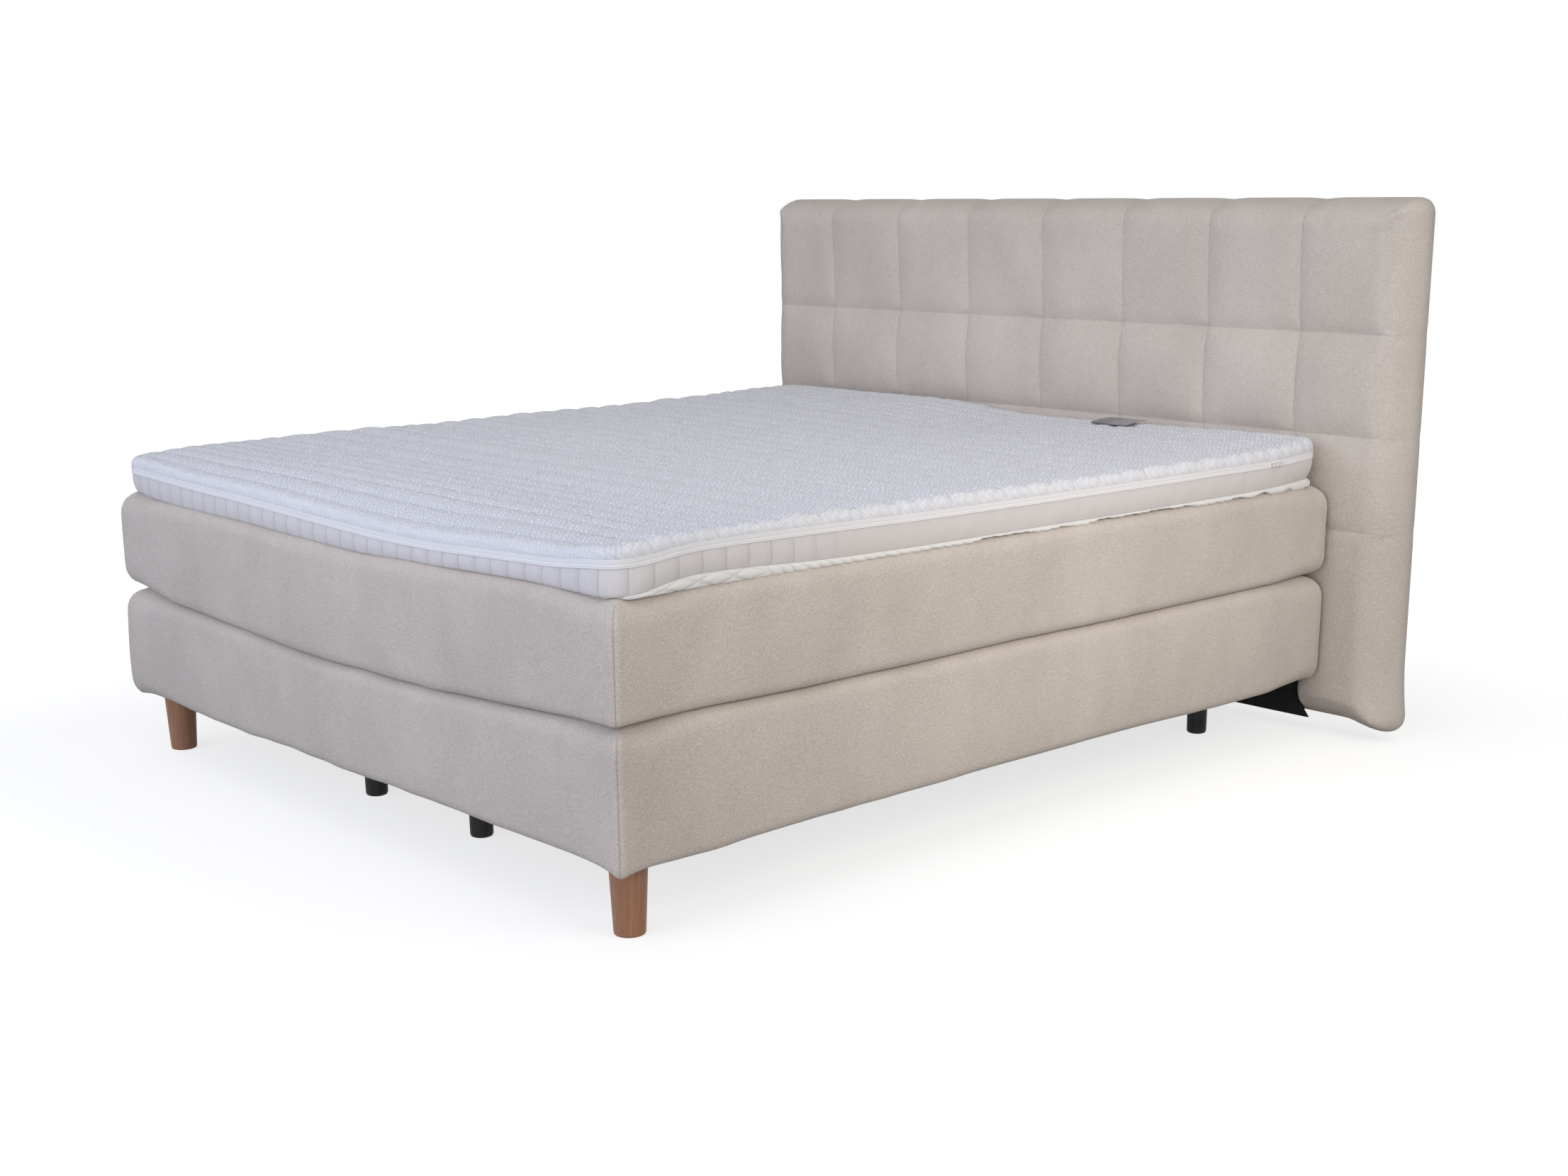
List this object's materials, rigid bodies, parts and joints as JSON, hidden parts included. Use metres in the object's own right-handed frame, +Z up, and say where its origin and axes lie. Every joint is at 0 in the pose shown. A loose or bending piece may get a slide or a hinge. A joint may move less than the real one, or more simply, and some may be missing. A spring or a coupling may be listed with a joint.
{
  "type": "box spring bed",
  "caption": "Double box spring bed with an upholstered base on legs, sprung mattress, zipped quilted topper and tall tufted headboard.",
  "frame": {"origin": "centre of the footprint of bed and headboard, on the floor", "axes": "+Y from the foot end towards the headboard, +X to the right as seen from the foot, +Z up"},
  "size_m": [2.07, 2.146, 1.224],
  "materials": {
    "velvet": "woven upholstery, fine vertical rib, matt",
    "topper_knit": "quilted double knit, matt",
    "topper_mesh": "spacer mesh with a fine diagonal weave",
    "zip_tape": "woven zip tape and piping",
    "zip_metal": "plated zinc, satin",
    "label_satin": "satin care label, blank",
    "beech": "clear lacquered, fine grain",
    "spruce": "sawn and planed",
    "hardboard": "smooth hardboard",
    "black_plastic": "moulded, semi matt",
    "black_cloth": "non-woven lining",
    "foam": "cut foam",
    "felt": "needled felt",
    "spring_pocket": "pocketed springs in non-woven cloth",
    "steel": "zinc plated"
  },
  "bodies": {
    "bed": {"base_cover": "velvet", "headboard_cover": "velvet", "wooden_leg_left": "beech", "wooden_leg_right": "beech", "base_side_rail_left": "spruce", "base_side_rail_right": "spruce", "base_foot_rail": "spruce", "base_head_rail": "spruce", "base_centre_beam": "spruce", "base_foot_bearer": "spruce", "base_head_bearer": "spruce", "base_corner_block_left": "spruce", "base_corner_block_right": "spruce", "base_slat_1": "spruce", "base_slat_2": "spruce", "base_slat_3": "spruce", "base_slat_4": "spruce", "base_slat_5": "spruce", "base_slat_6": "spruce", "headboard_post_left": "spruce", "headboard_post_right": "spruce", "headboard_top_rail": "spruce", "headboard_bottom_rail": "spruce", "headboard_fixing_rail": "spruce", "headboard_panel": "hardboard", "support_leg_foot_left": "black_plastic", "support_leg_foot_right": "black_plastic", "support_leg_head_left": "black_plastic", "support_leg_head_right": "black_plastic", "support_leg_corner_left": "black_plastic", "support_leg_corner_right": "black_plastic", "base_dust_cloth": "black_cloth", "headboard_lower_cloth": "black_cloth", "headboard_back_cloth": "black_cloth", "base_foam": "foam", "headboard_foam": "foam", "base_felt": "felt", "base_spring_unit": "spring_pocket", "wooden_leg_stud_left": "steel", "wooden_leg_stud_right": "steel", "headboard_bracket_left": "steel", "headboard_bracket_right": "steel", "bracket_bolt_left": "steel", "bracket_bolt_right": "steel", "bracket_screw_left": "steel", "bracket_screw_right": "steel"},
    "mattress": {"mattress_cover": "velvet", "mattress_bottom_foam": "foam", "mattress_edge_foam": "foam", "mattress_top_foam": "foam", "mattress_bottom_panel": "felt", "mattress_spring_core": "spring_pocket"},
    "topper": {"topper_top_cover": "topper_knit", "topper_bottom_cover": "topper_knit", "topper_mesh_border": "topper_mesh", "topper_zip_tape": "zip_tape", "topper_label": "label_satin", "topper_core": "foam"},
    "zip_slider": {"zip_slider": "zip_metal"},
    "zip_pull": {"zip_pull": "zip_metal"}
  },
  "joints": [
    {"name": "mattress_lift", "type": "slide", "parent": "bed", "child": "mattress", "axis": [0, 0, 1], "range_m": [0, 0.25]},
    {"name": "topper_lift", "type": "slide", "parent": "mattress", "child": "topper", "axis": [0, 0, 1], "range_m": [0, 0.25]},
    {"name": "zip_slide", "type": "slide", "parent": "topper", "child": "zip_slider", "axis": [0, -1, 0], "range_m": [0, 1.7]},
    {"name": "zip_pull_turn", "type": "hinge", "parent": "zip_slider", "child": "zip_pull", "pos_m": [0.8974, 0.732, 0.6553], "axis": [0, 0, -1], "range_deg": [0, 170]}
  ]
}
